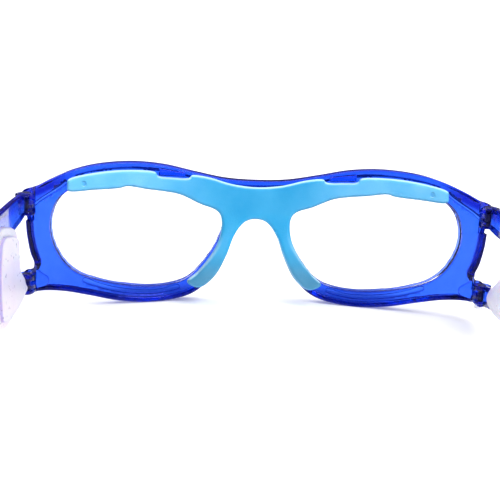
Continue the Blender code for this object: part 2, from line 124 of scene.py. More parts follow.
FINE_ROUNDS = (0.2 * MM, 0.2 * MM), (0.2 * MM, 0.2 * MM)
PAD_ROUNDS = (0.4 * MM, 0.4 * MM), (1.2 * MM, 1.2 * MM)
PAD_CORE_INSET = 1.6 * MM
DIMPLE_RADIUS = 0.8 * MM
DIMPLE_DEPTH = 0.4 * MM
DIMPLE_ROUNDS = (0.25 * MM, 0.25 * MM), (0, 0)
KNUCKLE_ROUNDS = {"upper": ((0.3 * MM, 0.3 * MM), (1.8 * MM, 1.8 * MM)),
                  "lower": ((1.6 * MM, 1.6 * MM), (0.3 * MM, 0.3 * MM))}
TEMPLE_ROUNDS = (0.5 * MM, 0.5 * MM), (1.9 * MM, 2.4 * MM)
PANEL_INSET = 2.4 * MM  # the raised middle of a cushion
PANEL_HEIGHT = 0.9 * MM
PANEL_ROUNDS = (0.6 * MM, 0.5 * MM), (0, 0)
FLANGE_ROUNDS = (0.7 * MM, 0.8 * MM), (0.3 * MM, 0.3 * MM)
PEG_ROUNDS = (0.1 * MM, 0.1 * MM), (0.4 * MM, 0.4 * MM)
TAIL_END = 102 * MM  # the strap's sewn tail runs from here
TAIL_START = 91 * MM  # to here, and bends inwards from there to the bar
TAIL_GAP = 0.02 * MM  # between the tail and the band it is sewn to
BEND_RADIUS = 1.1 * MM  # the strap's bends round the bar
STITCH_ROWS = (94 * MM, 96.5 * MM, 99 * MM)
STITCHES = 11  # in a row
STITCH_LEAN = math.radians(28)
STITCH_SIZE = (0.16 * MM, 0.2 * MM, 1.0 * MM)
SEAM_Y = 96 * MM  # the rows of stitches lie at the height that the strap has here
LAP_START = 110 * MM  # one band moves in to lie inside the other between here
LAP_END = 150 * MM  # and here

# ---- outlines, in millimetres ---------------------------------------------------------------
# Across the front: (distance round the wrap from the middle, height). Only the +X half is given.
APERTURE = [
    (65.8, 26.5), (63.9, 18.6), (58.2, 11.6), (47.5, 7.2), (34.0, 5.1), (22.6, 6.9), (15.6, 14.0),
    (11.6, 21.5), (10.4, 29.0), (14.5, 34.6), (26.5, 37.9), (42.0, 39.2), (56.0, 38.0), (63.3, 33.9),
]
FRONT_HALF = [
    (10.0, 39.9), (20.0, 41.8), (30.0, 44.0), (40.0, 44.9), (50.0, 44.4), (58.0, 42.9), (65.0, 40.5),
    (70.6, 38.1), (74.6, 36.9), (75.2, 33.6), (74.4, 30.5), (73.3, 29.0), (72.9, 24.4), (71.9, 19.0),
    (70.7, 15.4), (71.8, 13.2), (74.3, 12.7), (75.0, 9.6), (74.2, 6.6), (68.0, 6.7), (61.0, 5.7),
    (53.0, 3.6), (44.0, 1.2), (34.0, 0.0), (24.6, 0.9), (18.2, 3.4), (13.3, 8.4), (9.8, 15.2), (7.2, 21.8),
    (4.2, 27.0),
]
FRONT_TOP_MIDDLE = (0.0, 39.4)
FRONT_ARCH_MIDDLE = (0.0, 29.2)
PAD_HALF = [
    (8.0, 38.3), (15.0, 40.2), (20.4, 41.0), (22.2, 40.0), (27.0, 40.2), (31.4, 40.6), (33.0, 42.0),
    (38.0, 42.5), (46.0, 42.4), (54.0, 41.5), (59.4, 40.3), (60.2, 38.6), (59.4, 36.4), (52.0, 36.6),
    (44.4, 36.9), (41.0, 37.5), (35.0, 36.5), (29.0, 35.7), (24.0, 34.6), (18.0, 31.8), (12.8, 29.8),
    (11.0, 26.6), (11.6, 20.6), (14.2, 15.2), (18.2, 10.0), (21.6, 6.9), (20.4, 5.2), (17.2, 4.7),
    (12.8, 8.6), (9.4, 15.2), (7.0, 21.6), (3.8, 26.0),
]
PAD_TOP_MIDDLE = (0.0, 37.5)
PAD_ARCH_MIDDLE = (0.0, 27.2)
DIMPLE = Vector((55.2, 38.6)) * MM
TAB = [(22.9, 40.6), (31.0, 41.1), (31.0, 43.2), (22.9, 41.9)]
BROW_RIDGE = [  # swells from the brow towards the upper hinge
    (58.4, 41.7), (62.0, 40.6), (66.0, 39.1), (70.4, 37.2), (73.0, 36.3), (73.2, 32.4), (71.4, 32.6),
    (69.2, 34.2), (66.6, 35.6), (63.6, 37.2), (60.4, 39.0), (57.8, 40.4),
]
CREASE = [(60.6, 39.2), (62.4, 37.9), (64.6, 36.6), (67.0, 35.3), (69.2, 34.0), (71.2, 32.5)]
UNDERCUT = [(24.4, 4.7), (29.0, 3.7), (34.0, 3.3), (40.0, 3.9), (46.0, 5.2), (51.0, 6.9), (55.0, 8.7)]
HINGE_LUG = [(66.6, 8.4), (70.0, 7.6), (73.4, 7.8), (73.4, 12.0), (70.4, 13.6), (68.6, 12.6), (66.2, 10.6)]

# Across a temple: (distance behind the front's middle, height).
TEMPLE = [  # its first point is at the end that both hinges are on
    (21.6, 37.0), (34.0, 36.9), (50.0, 36.4), (64.0, 35.6), (74.6, 34.2), (78.6, 31.0), (78.6, 21.0),
    (78.6, 11.0), (75.6, 8.2), (70.0, 8.2), (67.2, 11.5), (66.4, 19.0), (64.2, 26.6), (59.0, 29.4),
    (54.0, 28.4), (51.4, 24.4), (49.6, 18.0), (46.4, 12.6), (41.2, 9.0), (35.0, 7.8), (28.0, 7.1),
    (21.6, 6.5), (21.6, 12.8), (27.0, 13.3), (33.0, 14.0), (38.6, 16.0), (42.8, 19.8), (44.2, 24.4),
    (42.6, 27.6), (37.0, 28.7), (30.0, 29.3), (21.6, 30.4),
]
CUSHION = [
    (31.2, 11.6), (33.2, 14.4), (38.0, 17.6), (41.2, 21.0), (41.8, 25.4), (43.2, 29.4), (48.4, 31.6),
    (55.0, 33.0), (61.0, 33.6), (65.8, 31.4), (68.2, 25.0), (68.4, 17.0), (66.8, 10.0), (61.0, 7.4),
    (50.0, 7.4), (41.0, 7.8), (35.0, 8.6), (32.2, 9.8),
]
CUSHION_PEGS = [(38.8, 12.2), (52.8, 30.8), (62.2, 31.2)]


# ---- drawing helpers -------------------------------------------------------------------------
def metres(points):
    return [Vector((a * MM, b * MM)) for a, b in points]


def stretch_of(p0, p1, p2, p3, steps):
    """This many points of a Catmull-Rom curve from p1 towards p2, p1 first."""
    points = []
    for step in range(steps):
        t = step / steps
        points.append(0.5 * (2 * p1 + (p2 - p0) * t + (2 * p0 - 5 * p1 + 4 * p2 - p3) * t * t
                             + (3 * p1 - p0 - 3 * p2 + p3) * t ** 3))
    return points


def smooth_loop(points, steps):
    """A closed Catmull-Rom curve through the points, with this many steps from each to the next."""
    loop = []
    count = len(points)
    for i in range(count):
        loop += stretch_of(*(points[(i + k - 1) % count] for k in range(4)), steps)
    return loop


def symmetric(top, half, bottom):
    left = metres(half)
    right = [Vector((-p.x, p.y)) for p in reversed(left)]
    return metres([top]) + left + metres([bottom]) + right


def mirrored(loop, side):
    return [Vector((side * p.x, p.y)) for p in loop]


def turn_of(loop):
    return math.copysign(1, sum(a.cross(b) for a, b in zip(loop, loop[1:] + loop[:1])))


def uncrossed(loop):
    """Draws each knot that an offset ties in a tight corner together to the point where it crosses."""
    longest_knot = 24
    count = len(loop)
    for i in range(count):
        for step in range(min(longest_knot, count // 4), 1, -1):
            a, b, c, d = (loop[(i + k) % count] for k in (0, 1, step, step + 1))
            crossing = intersect_line_line_2d(a, b, c, d)
            if crossing:
                for k in range(1, step + 1):
                    loop[(i + k) % count] = crossing
                break
    return loop


def offset_loop(loop, distance):
    """The loop moved outwards by the distance, along its own normals."""
    turn = turn_of(loop)
    moved = []
    for i, point in enumerate(loop):
        along = (loop[(i + 1) % len(loop)] - loop[i - 1]).normalized()
        moved.append(point + Vector((along.y, -along.x)) * distance * turn)
    return uncrossed(moved)


def circle(centre, radius, sides=32):
    angles = [2 * math.pi * k / sides for k in range(sides)]
    return [centre + radius * Vector((math.cos(a), math.sin(a))) for a in angles]


def quarter_turn(steps):
    """The angles of a quarter turn, its first and last among them."""
    return [math.pi / 2 * k / steps for k in range(steps + 1)]


def rounded(near, far, near_round, far_round, steps=5):
    """An edge profile of (inset, depth) points from the near face to the far one.

    Each round is its (width, height): how far in from the edge, and how far down from the face, it reaches.
    """
    profile = []
    for turn in quarter_turn(steps):
        profile.append((near_round[0] * (1 - math.sin(turn)), near + near_round[1] * (1 - math.cos(turn))))
    for turn in quarter_turn(steps):
        profile.append((far_round[0] * (1 - math.cos(turn)), far - far_round[1] * (1 - math.sin(turn))))
    return list(dict.fromkeys(profile))


def beaded(profile, seat):
    """The edge profile, with a bead along its far end that rounds off down to the sunken seat inside it."""
    far = profile[-1][1]
    width, height = BEAD_ROUND
    inner = []
    for turn in quarter_turn(5):
        inner.append((BEAD_WIDTH - width * (1 - math.sin(turn)), far - height * (1 - math.cos(turn))))
    return profile + inner + [(BEAD_WIDTH + 0.05 * MM, seat + 0.15 * MM), (BEAD_WIDTH + 0.2 * MM, seat)]


def wrap(u, height, depth):
    """On the wrap-round front. Depth is measured from the rim's rear face towards the wearer."""
    angle = u / WRAP_RADIUS
    behind = WRAP_RADIUS * (1 - math.cos(angle))
    return Vector((WRAP_RADIUS * math.sin(angle), FRONT_Y + behind + depth, height))


def on_side(side):
    """A temple's places: distance behind the front's middle, height, and distance out to its side."""
    def place(y, height, depth):
        return Vector((side * depth, FRONT_Y + y, height))
    return place


def as_drawn(x, y, z):
    return Vector((x, y, z))


def smooth_step(value, start, end):
    t = min(1.0, max(0.0, (value - start) / (end - start)))
    return t * t * (3 - 2 * t)


def link(name, mesh):
    obj = bpy.data.objects.new(name, mesh)
    bpy.context.scene.collection.objects.link(obj)
    return obj


def finish_mesh(bm, name):
    bmesh.ops.recalc_face_normals(bm, faces=bm.faces)
    if bm.calc_volume(signed=True) < 0:
        bmesh.ops.reverse_faces(bm, faces=bm.faces)
    for face in bm.faces:
        face.smooth = True
    mesh = bpy.data.meshes.new(name)
    bm.to_mesh(mesh)
    bm.free()
    return link(name, mesh)


def ring_of(bm, loop, depth):
    """The loop's vertices at a depth. Points that lie together share one vertex."""
    ring = []
    for point in loop:
        if ring and (ring[-1].co.xy - point).length < TOUCHING:
            ring.append(ring[-1])
        else:
            ring.append(bm.verts.new((point.x, point.y, depth)))
    if ring[-1] is not ring[0] and (ring[-1].co.xy - ring[0].co.xy).length < TOUCHING:
        last = ring[-1]
        ring = [ring[0] if v is last else v for v in ring]
        bm.verts.remove(last)
    return ring


def moulded(name, loops, profiles, place, pitch=1.5 * MM):
    """A plate with shaped edges. The first loop is its outline and any others are holes.

    Each loop has its own edge profile of (inset, depth) points, from the front face to the rear one. The
    faces are cut into a grid of the pitch, so that they can bend to the place that each point goes to.
    """
    off_grid = 0.003 * MM  # keeps the cuts clear of points that lie on round numbers
    bm = bmesh.new()
    ends = ([], [])
    for index, (loop, profile) in enumerate(zip(loops, profiles)):
        inwards = -1 if index == 0 else 1
        count = len(loop)
        rings = []
        for inset, depth in profile:
            rings.append(ring_of(bm, offset_loop(loop, inwards * inset), depth))
        for near, far in zip(rings, rings[1:]):
            for i in range(count):
                j = (i + 1) % count
                corners = list(dict.fromkeys((near[i], near[j], far[j], far[i])))
                if len(corners) > 2:
                    bm.faces.new(corners)
        for end, ring in zip(ends, (rings[0], rings[-1])):
            pairs = [(ring[i], ring[(i + 1) % count]) for i in range(count)]
            end += [bm.edges.get(pair) for pair in pairs if pair[0] is not pair[1]]
    for edges in ends:
        bmesh.ops.triangle_fill(bm, use_beauty=True, edges=edges)
    for axis in (0, 1):
        low = min(v.co[axis] for v in bm.verts)
        high = max(v.co[axis] for v in bm.verts)
        normal = Vector((1 - axis, axis, 0))
        for k in range(math.ceil(low / pitch), math.floor(high / pitch) + 1):
            everything = bm.verts[:] + bm.edges[:] + bm.faces[:]
            bmesh.ops.bisect_plane(bm, geom=everything, dist=TOUCHING, plane_no=normal,
                                   plane_co=normal * (k * pitch + off_grid))
    for v in bm.verts:
        v.co = place(*v.co)
    return finish_mesh(bm, name)


def cylinder(name, radius, low, high, at):
    bm = bmesh.new()
    bmesh.ops.create_cone(bm, cap_ends=True, segments=FACETS, radius1=radius, radius2=radius,
                          depth=high - low, matrix=Matrix.Translation((at[0], at[1], (low + high) / 2)))
    return finish_mesh(bm, name)


def barrel(name, radius, low, high, at, rounds):
    """An upright cylinder with rounded ends."""
    edge = rounded(low, high, *rounds)
    return moulded(name, [circle(Vector(at), radius, FACETS)], [edge], as_drawn, 10 * MM)


def apply_modifiers(obj):
    graph = bpy.context.evaluated_depsgraph_get()
    mesh = bpy.data.meshes.new_from_object(obj.evaluated_get(graph))
    obj.modifiers.clear()
    obj.data = mesh


def combine(target, other, operation):
    modifier = target.modifiers.new(other.name, "BOOLEAN")
    modifier.operation = operation
    modifier.solver = "EXACT"
    modifier.object = other
    apply_modifiers(target)
    bpy.data.objects.remove(other)


def flatten_faces(obj):
    """Has the smooth shading follow the large faces, so that only the rounds between them look round."""
    modifier = obj.modifiers.new("normals", "WEIGHTED_NORMAL")
    modifier.weight = 80
    apply_modifiers(obj)


# ---- materials -------------------------------------------------------------------------------
NOISE_LOW = 0.3  # nearly all of a noise's values lie between these two
NOISE_HIGH = 0.7


def new_material(name, **values):
    """A Principled material. Each value is named as its socket is, with underscores for spaces."""
    made = bpy.data.materials.new(name)
    made.use_nodes = True
    shader = made.node_tree.nodes["Principled BSDF"]
    for socket, value in values.items():
        shader.inputs[socket.replace("_", " ")].default_value = value
    return made, made.node_tree, shader


def absorbing(tree, colour, density):
    """Fills the material with a clear medium that takes up light: the denser, the deeper its colour."""
    medium = tree.nodes.new("ShaderNodeVolumeAbsorption")
    medium.inputs["Color"].default_value = colour
    medium.inputs["Density"].default_value = density
    tree.links.new(medium.outputs["Volume"], tree.nodes["Material Output"].inputs["Volume"])


def noise(tree, scale, detail=3.0, stretch=(1, 1, 1)):
    """Noise from 0 to 1 in the object's own space, in cells of 1/scale metres."""
    place = tree.nodes.new("ShaderNodeTexCoord")
    mapping = tree.nodes.new("ShaderNodeMapping")
    mapping.inputs["Scale"].default_value = stretch
    tree.links.new(place.outputs["Object"], mapping.inputs["Vector"])
    texture = tree.nodes.new("ShaderNodeTexNoise")
    texture.inputs["Scale"].default_value = scale
    texture.inputs["Detail"].default_value = detail
    tree.links.new(mapping.outputs["Vector"], texture.inputs["Vector"])
    return texture.outputs["Fac"]


def spread(tree, value, socket, low, high):
    """Spreads the middle of a noise's values over a socket's range."""
    ranged = tree.nodes.new("ShaderNodeMapRange")
    ranged.inputs["From Min"].default_value = NOISE_LOW
    ranged.inputs["From Max"].default_value = NOISE_HIGH
    ranged.inputs["To Min"].default_value = low
    ranged.inputs["To Max"].default_value = high
    tree.links.new(value, ranged.inputs["Value"])
    tree.links.new(ranged.outputs["Result"], socket)


def bump(tree, height, shader, distance, strength):
    """Raises the surface by a 0 to 1 height, up to a distance in metres."""
    node = tree.nodes.new("ShaderNodeBump")
    node.inputs["Distance"].default_value = distance
    node.inputs["Strength"].default_value = strength
    tree.links.new(height, node.inputs["Height"])
    tree.links.new(node.outputs["Normal"], shader.inputs["Normal"])


def math_node(tree, operation, first, second=None):
    node = tree.nodes.new("ShaderNodeMath")
    node.operation = operation
    for socket, value in zip(node.inputs, (first, second)):
        if isinstance(value, bpy.types.NodeSocket):
            tree.links.new(value, socket)
        elif value is not None:
            socket.default_value = value
    return node.outputs["Value"]


def ramped(tree, value, start, end):
    """Goes smoothly from 0 at start to 1 at end."""
    node = tree.nodes.new("ShaderNodeMapRange")
    node.interpolation_type = "SMOOTHSTEP"
    node.inputs["From Min"].default_value = start
    node.inputs["From Max"].default_value = end
    tree.links.new(value, node.inputs["Value"])
    return node.outputs["Result"]


def axes_of(tree, vector):
    """The vector's X, Y and Z."""
    apart = tree.nodes.new("ShaderNodeSeparateXYZ")
    tree.links.new(vector, apart.inputs["Vector"])
    return apart.outputs


def coordinate(tree, output, axis):
    """One axis of a texture coordinate, such as the place on the object or its normal there."""
    return axes_of(tree, tree.nodes.new("ShaderNodeTexCoord").outputs[output])[axis]


def unsigned(tree, output, axis):
    """One axis of a texture coordinate, without its sign, so that it is the same on both sides."""
    return math_node(tree, "ABSOLUTE", coordinate(tree, output, axis))


def blended(tree, factor, first, second):
    """A colour that goes from the first to the second with the factor. Each is a colour or a socket."""
    mix = tree.nodes.new("ShaderNodeMix")
    mix.data_type = "RGBA"
    tree.links.new(factor, mix.inputs[0])
    for socket, colour in ((mix.inputs[6], first), (mix.inputs[7], second)):
        if isinstance(colour, bpy.types.NodeSocket):
            tree.links.new(colour, socket)
        else:
            socket.default_value = colour
    return mix.outputs[2]


def tinted(tree, value, *colours):
    """Runs the middle of a noise's values through evenly spaced colours."""
    ramp = tree.nodes.new("ShaderNodeValToRGB")
    points = ramp.color_ramp.elements
    while len(points) < len(colours):
        points.new(0.5)
    for k, colour in enumerate(colours):
        points[k].position = NOISE_LOW + (NOISE_HIGH - NOISE_LOW) * k / (len(colours) - 1)
        points[k].color = colour
    tree.links.new(value, ramp.inputs["Fac"])
    return ramp.outputs["Color"]


def blue_plastic(name, axis, density, wall_shade_colour):
    """Clear blue, and deeper in its walls, along the lower rims and on the ridges at the upper hinges.

    Axis is the one its faces look along. The deeper colour in the walls, along the lower rims and on the
    ridges is painted shade, which stands in for light that a real moulding bends there.
    """
    made, tree, shader = new_material(
        name, Roughness=0.08, IOR=1.5, Transmission_Weight=1.0, Specular_Tint=(0.25, 0.25, 1.0, 1))
    absorbing(tree, (0.05, 0.53, 0.93, 1), density)
    faces = tinted(tree, noise(tree, 260), (0.205, 0.32, 0.98, 1), (0.26, 0.38, 0.99, 1))
    out = unsigned(tree, "Object", "X")
    height = unsigned(tree, "Object", "Z")
    # Painted shade: a deep navy along the middle of the lower rims.
    low = ramped(tree, height, 0.0065, 0.003)
    low_rim_shade = math_node(tree, "MULTIPLY", low, ramped(tree, out, 0.056, 0.040))
    faces = blended(tree, low_rim_shade, faces, (0.09, 0.14, 0.52, 1))
    # Painted shade: a deep violet patch on the ridges towards the upper hinges.
    ridge_slope = 0.45
    above = ramped(tree, math_node(tree, "ADD", height, math_node(tree, "MULTIPLY", out, ridge_slope)),
                   0.0642, 0.0660)
    ridge_shade = math_node(tree, "MULTIPLY", above, ramped(tree, out, 0.054, 0.063))
    faces = blended(tree, ridge_shade, faces, (0.10, 0.06, 0.52, 1))
    # Painted shade: where the surface turns up, down or aside, its walls take the darker wall colour.
    upwards = ramped(tree, unsigned(tree, "Normal", "Z"), 0.2, 0.6)
    aside = ramped(tree, unsigned(tree, "Normal", axis), 0.75, 0.4)
    painted_shade_walls = math_node(tree, "MAXIMUM", upwards, aside)
    tree.links.new(blended(tree, painted_shade_walls, faces, wall_shade_colour), shader.inputs["Base Color"])
    spread(tree, noise(tree, 900), shader.inputs["Roughness"], 0.04, 0.12)
    bump(tree, noise(tree, 120, 1.0), shader, 0.0002, 0.5)
    return made


def lens_plastic():
    made, tree, shader = new_material(
        "lens_clear", Base_Color=(0.985, 0.99, 1.0, 1), IOR=1.35, Transmission_Weight=1.0)
    spread(tree, noise(tree, 60), shader.inputs["Roughness"], 0.0, 0.02)
    return made


def pad_silicone():
    """Deepest at the bridge, paler towards the temples and greyer down the nose legs.

    Paler on its upper edges with a painted highlight, and darker on its undersides with painted shade.
    """
    made, tree, shader = new_material(
        "pad_cyan", Roughness=0.42, IOR=1.42, Subsurface_Weight=0.25, Subsurface_Scale=0.003,
        Subsurface_Radius=(0.3, 0.8, 1.0))
    cloud = noise(tree, 90, 4.0)
    middle = tinted(tree, cloud, (0.020, 0.385, 0.70, 1), (0.048, 0.455, 0.76, 1))
    ends = tinted(tree, cloud, (0.11, 0.54, 0.86, 1), (0.21, 0.64, 0.93, 1))
    feet = tinted(tree, cloud, (0.04, 0.24, 0.40, 1), (0.08, 0.30, 0.46, 1))
    outwards = blended(tree, ramped(tree, unsigned(tree, "Object", "X"), 0.008, 0.040), middle, ends)
    downwards = blended(tree, ramped(tree, unsigned(tree, "Object", "Z"), 0.022, 0.008), outwards, feet)
    upward = coordinate(tree, "Normal", "Z")
    # Painted highlight: paler where the surface faces up.
    wear_and_painted_highlight = blended(tree, ramped(tree, upward, 0.35, 0.9), downwards, (0.50, 0.82, 0.97, 1))
    # Painted shade: darker where the surface faces down.
    shaded = blended(tree, ramped(tree, upward, -0.3, -0.9), wear_and_painted_highlight, (0.05, 0.30, 0.52, 1))
    tree.links.new(shaded, shader.inputs["Base Color"])
    spread(tree, noise(tree, 700), shader.inputs["Roughness"], 0.34, 0.52)
    bump(tree, noise(tree, 1800, 2.0), shader, 0.00012, 0.6)
    return made


def cushion_silicone():
    """Milky, with a lavender cast of painted shade where its walls turn away from its faces."""
    made, tree, shader = new_material(
        "cushion_clear", Roughness=0.3, IOR=1.41, Transmission_Weight=0.35, Subsurface_Weight=0.3,
        Subsurface_Scale=0.003)
    milk = tinted(tree, noise(tree, 110, 4.0), (0.91, 0.84, 0.92, 1), (0.95, 0.91, 0.95, 1))
    # Painted shade: lavender on the walls, where the surface turns away from the faces.
    painted_shade_walls = ramped(tree, unsigned(tree, "Normal", "X"), 0.95, 0.4)
    tree.links.new(blended(tree, painted_shade_walls, milk, (0.58, 0.53, 0.88, 1)), shader.inputs["Base Color"])
    spread(tree, noise(tree, 600), shader.inputs["Roughness"], 0.26, 0.4)
    bump(tree, noise(tree, 220, 1.0), shader, 0.0001, 0.15)
    return made


def turned_metal(name, dark, light, low, high):
    """Metal with fine turning marks round the upright axis of its screw."""
    made, tree, shader = new_material(name, Metallic=1)
    marks = noise(tree, 500, 2.0, (1, 1, 14))
    tree.links.new(tinted(tree, marks, dark, light), shader.inputs["Base Color"])
    spread(tree, marks, shader.inputs["Roughness"], low, high)
    bump(tree, marks, shader, 0.00003, 0.6)
    return made


def strap_webbing():
    """Woven elastic: rows of short threads with a denser edge, drawn in metres along and across the band."""
    row = 1.25  # millimetres, as the other sizes of the threads are
    made, tree, shader = new_material("strap_webbing", Roughness=0.85, Sheen_Weight=0.1, Sheen_Roughness=0.4)
    place = tree.nodes.new("ShaderNodeUVMap").outputs["UV"]
    threads = tree.nodes.new("ShaderNodeTexBrick")
    threads.inputs["Scale"].default_value = 1000.0
    threads.inputs["Brick Width"].default_value = 2.6
    threads.inputs["Row Height"].default_value = row
    threads.inputs["Mortar Size"].default_value = 0.3
    threads.inputs["Mortar Smooth"].default_value = 1.0
    threads.inputs["Color1"].default_value = (0.012, 0.032, 0.24, 1)
    threads.inputs["Color2"].default_value = (0.030, 0.075, 0.42, 1)
    threads.inputs["Mortar"].default_value = (0.002, 0.005, 0.04, 1)
    tree.links.new(place, threads.inputs["Vector"])
    half = STRAP_WIDTH / 2
    across = axes_of(tree, place)["Y"]
    from_middle = math_node(tree, "ABSOLUTE", math_node(tree, "SUBTRACT", across, half))
    edge = ramped(tree, from_middle, half - 1.5 * MM, half - 1.2 * MM)
    worn = noise(tree, 300, 4.0)
    edging = tinted(tree, worn, (0.008, 0.018, 0.13, 1), (0.016, 0.034, 0.20, 1))
    tree.links.new(blended(tree, edge, threads.outputs["Color"], edging), shader.inputs["Base Color"])
    ribs = math_node(tree, "SINE", math_node(tree, "MULTIPLY", across, 2 * math.pi / (row * MM)))
    raised = math_node(tree, "SUBTRACT", math_node(tree, "MULTIPLY", ribs, 0.25), threads.outputs["Fac"])
    bump(tree, math_node(tree, "ADD", raised, math_node(tree, "MULTIPLY", worn, 0.4)), shader, 0.0004, 1.0)
    spread(tree, worn, shader.inputs["Roughness"], 0.75, 0.95)
    return made


def strap_thread():
    made, tree, shader = new_material("strap_thread", Roughness=0.6, Sheen_Weight=0.3)
    twist = noise(tree, 1400, 2.0, (1, 1, 0.3))
    blue = tinted(tree, twist, (0.05, 0.12, 0.50, 1), (0.12, 0.24, 0.72, 1))
    tree.links.new(blue, shader.inputs["Base Color"])
    bump(tree, twist, shader, 0.0001, 0.7)
    return made


def slider_plastic():
    """Black nylon with a fine spark-eroded grain, rubbed smoother and greyer in patches."""
    made, tree, shader = new_material("slider_plastic", Roughness=0.4, IOR=1.5)
    wear_and_painted_highlight = noise(tree, 130, 4.0)
    black = tinted(tree, wear_and_painted_highlight, (0.006, 0.007, 0.012, 1), (0.022, 0.023, 0.032, 1))
    tree.links.new(black, shader.inputs["Base Color"])
    spread(tree, wear_and_painted_highlight, shader.inputs["Roughness"], 0.32, 0.55)
    bump(tree, noise(tree, 2600, 1.0), shader, 0.00008, 0.8)
    return made


MATERIALS = {
    # The last colour of each blue is the painted shade in its walls.
    "frame_blue": blue_plastic("frame_blue", "Y", 560, (0.13, 0.15, 0.60, 1)),
    "lens_clear": lens_plastic(),
    "pad_cyan": pad_silicone(),
    "cushion_clear": cushion_silicone(),
    "screw_steel": turned_metal("screw_steel", (0.03, 0.03, 0.08, 1), (0.08, 0.08, 0.16, 1), 0.22, 0.4),
    "insert_brass": turned_metal("insert_brass", (0.20, 0.13, 0.06, 1), (0.32, 0.23, 0.11, 1), 0.25, 0.42),
    "strap_webbing": strap_webbing(),
    "slider_plastic": slider_plastic(),
}
TEMPLE_BLUE = blue_plastic("temple_blue", "X", 760, (0.32, 0.34, 0.95, 1))
THREAD = strap_thread()


def settle(obj, body, slot, node, material=None):
    """Gives a piece its material and its body if it rides on one, and hides the CAD node that it stands for.
    """
    obj.data.materials.clear()
    obj.data.materials.append(material or MATERIALS[slot])
    if body:
        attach(obj, body)
    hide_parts(node)


# ---- the front -------------------------------------------------------------------------------
def hinge_span(level):
    """Heights of a hinge's lower ear, tongue and upper ear, as (low, high) pairs."""
    foot, top = HINGES[level]
    tongue_height = TONGUE_SHARE * (top - foot)
    ear_height = (top - foot - tongue_height) / 2 - GAP
    tongue = ((foot + top - tongue_height) / 2, (foot + top + tongue_height) / 2)
    return (foot, foot + ear_height), tongue, (top - ear_height, top)


def add_hinge_tongue(front, side, level):
    """The front's half of a hinge: pockets for the temple's two ears, and the tongue between them.

    The screw fills its hole, with no film of air round it to spoil the look of the clear plastic.
    """
    lower, tongue, upper = hinge_span(level)
    at = (side * HINGE_X, FRONT_Y + HINGE_Y)
    for low, high in ((lower[0] - 2 * MM, lower[1] + GAP), (upper[0] - GAP, upper[1] + 2 * MM)):
        combine(front, cylinder("sweep", KNUCKLE_SWEEP, low, high, at), "DIFFERENCE")
    combine(front, cylinder("barrel", KNUCKLE_RADIUS, *tongue, at), "UNION")


def cut_channel(front, side, points, width, depth):
    """A round-bottomed channel in the seat, along the points."""
    middle = metres(points)
    steps = [(b - a).normalized() for a, b in zip(middle, middle[1:])]
    aside = [Vector((-along.y, along.x)) * width / 2 for along in steps + steps[-1:]]
    upper = [point + off for point, off in zip(middle, aside)]
    lower = [point - off for point, off in zip(middle, aside)]
    profile = rounded(SEAT - depth, MM, (0.38 * width, 0.9 * depth), (0, 0))
    loop = mirrored(smooth_loop(upper + lower[::-1], 4), side)
    combine(front, moulded("channel", [loop], [profile], wrap), "DIFFERENCE")


def make_front():
    outline = smooth_loop(symmetric(FRONT_TOP_MIDDLE, FRONT_HALF, FRONT_ARCH_MIDDLE), 8)
    hole = smooth_loop(metres(APERTURE), 12)
    outer_edge = beaded(rounded(-RIM_DEPTH, 0, *OUTER_ROUNDS, 6), SEAT)
    groove_front = LENS_REAR - LENS_THICKNESS - GAP
    groove_rear = LENS_REAR + GAP
    groove_foot = LENS_BITE + GAP / 3
    groove = [(0, groove_front - 0.1 * MM), (groove_foot, groove_front), (groove_foot, groove_rear),
              (0, groove_rear)]
    hole_edge = rounded(-RIM_DEPTH, SEAT, *OPENING_ROUNDS)
    middle = len(hole_edge) // 2
    hole_edge = hole_edge[:middle] + groove + hole_edge[middle:]
    loops = [outline, mirrored(hole, 1), mirrored(hole, -1)]
    front = moulded("front", loops, [outer_edge, hole_edge, hole_edge], wrap)
    tab_edge = rounded(-2 * MM, 2.4 * MM, *TAB_ROUNDS, 3)
    swell = rounded(SEAT - 0.6 * MM, -HAIR, *RAISED_ROUNDS)
    for side in (1, -1):
        combine(front, moulded("tab", [mirrored(metres(TAB), side)], [tab_edge], wrap), "UNION")
        for points in (BROW_RIDGE, HINGE_LUG):
            raised = mirrored(smooth_loop(metres(points), 6), side)
            combine(front, moulded("raised", [raised], [swell], wrap), "UNION")
        cut_channel(front, side, CREASE, CREASE_WIDTH, CREASE_DEPTH)
        cut_channel(front, side, UNDERCUT, UNDERCUT_WIDTH, UNDERCUT_DEPTH)
        for level in HINGES:
            add_hinge_tongue(front, side, level)
    flatten_faces(front)
    settle(front, "front", "frame_blue", "front_frame")


def make_lens(side, word):
    edge = offset_loop(smooth_loop(metres(APERTURE), 12), LENS_BITE)
    profile = rounded(LENS_REAR - LENS_THICKNESS, LENS_REAR, *FINE_ROUNDS, 3)
    lens = moulded(f"lens_{word}_clear", [mirrored(edge, side)], [profile], wrap, 3 * MM)
    settle(lens, "front", "lens_clear", f"lens_{word}")


def pad_place(u, height, depth):
    """The pad tapers towards the wearer, and its rear face swells at the feet of the nose legs."""
    if depth > PAD_DEPTH / 2:
        depth += LEG_DEPTH * smooth_step(height, 30 * MM, 10 * MM)
    taper = max(0.0, depth) / TAPER_LENGTH
    return wrap(u * (1 - taper), height + (TAPER_HEIGHT - height) * taper, depth)


